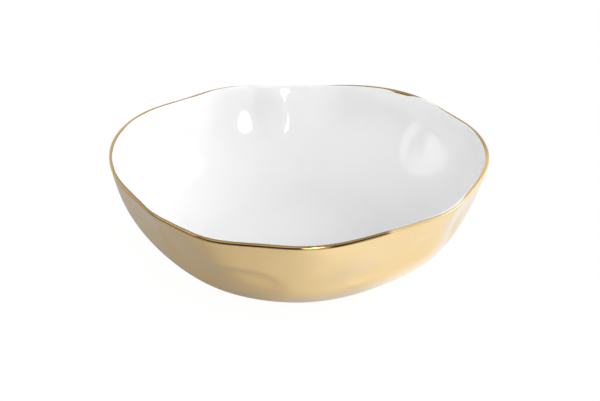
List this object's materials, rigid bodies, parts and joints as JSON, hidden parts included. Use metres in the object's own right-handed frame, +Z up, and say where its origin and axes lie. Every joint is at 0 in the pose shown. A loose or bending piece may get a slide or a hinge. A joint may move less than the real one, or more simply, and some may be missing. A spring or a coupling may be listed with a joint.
{
  "type": "serving bowl",
  "caption": "Wide round porcelain serving bowl with a hand-pressed wavy wall, glossy white inside, polished gold outside and on the lip, standing on a bare foot ring.",
  "frame": {"origin": "on the table under the bowl, in the middle of the box around the rim", "axes": "+Z up out of the bowl's mouth, -Y towards the viewer of the picture, +X to the viewer's right"},
  "size_m": [0.3318, 0.311, 0.0955],
  "materials": {
    "porcelain": "matte",
    "white_glaze": "gloss",
    "gold_coat": "polished",
    "gold_lip": "polished",
    "bare_porcelain": "matte"
  },
  "bodies": {
    "root": {"porcelain_body": "porcelain", "inner_glaze": "white_glaze", "gold_jacket": "gold_coat", "rim_band": "gold_lip", "foot_ring": "bare_porcelain", "base_coat": "gold_coat"}
  },
  "joints": []
}
